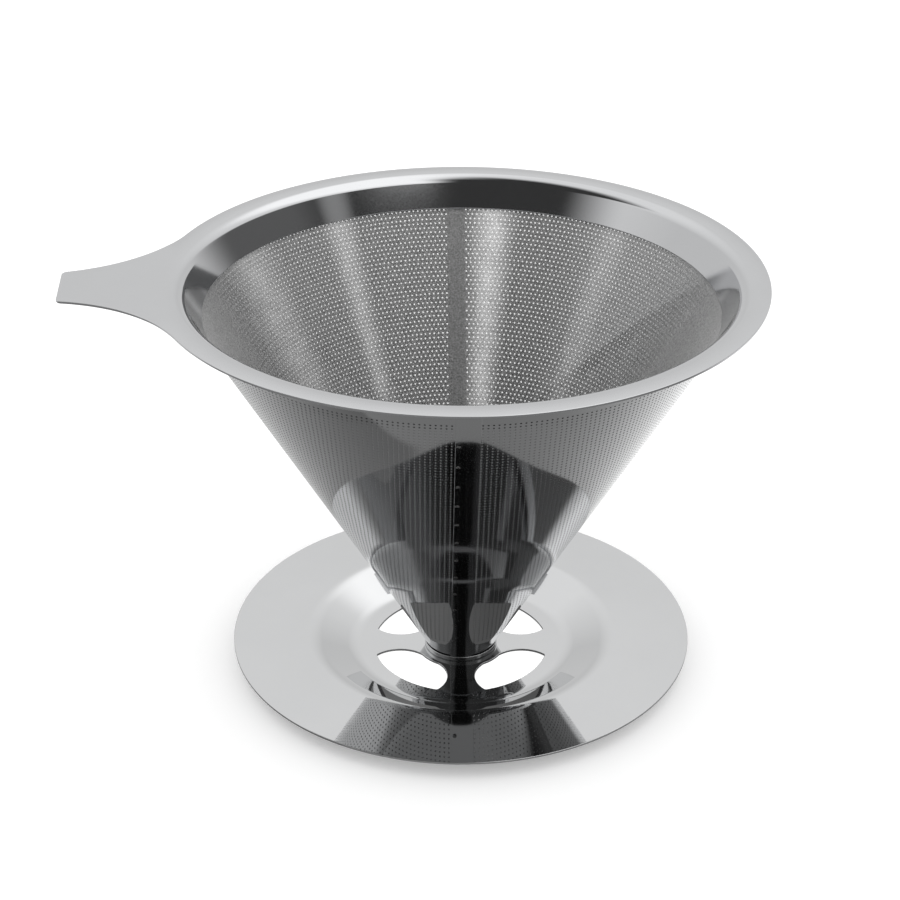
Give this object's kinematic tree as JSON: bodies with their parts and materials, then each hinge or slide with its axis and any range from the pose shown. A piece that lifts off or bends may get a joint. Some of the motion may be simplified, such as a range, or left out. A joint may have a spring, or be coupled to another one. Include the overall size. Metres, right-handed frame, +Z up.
{
  "type": "pour over dripper",
  "caption": "Free-standing stainless steel pour-over coffee dripper: perforated cone lined with woven mesh, flat rim with a tab handle, and a mirror-polished mug stand.",
  "frame": {"origin": "on the cone's axis at the underside of the stand's floor, where the dripper rests", "axes": "+Z up along the cone's axis; the handle points along -X, turned 4 degrees towards -Y; the lap seam of the cone faces -Y"},
  "size_m": [0.144, 0.125, 0.0894],
  "materials": {
    "rim_steel": "polished stainless steel, satin on the flat and bright on the rounded edge",
    "perforated_steel": "polished stainless sheet with a fine even grid of round holes",
    "woven_steel": "very fine woven stainless wire cloth",
    "tip_steel": "polished stainless steel",
    "stand_steel": "mirror-polished stainless steel",
    "weld_steel": "small bright spot welds"
  },
  "bodies": {
    "root": {"rim_ring": "rim_steel", "outer_cone": "perforated_steel", "inner_mesh": "woven_steel", "tip_cap": "tip_steel", "tip_pan": "tip_steel", "base_plate": "stand_steel", "seam_welds": "weld_steel", "hub_welds": "weld_steel"}
  },
  "joints": []
}
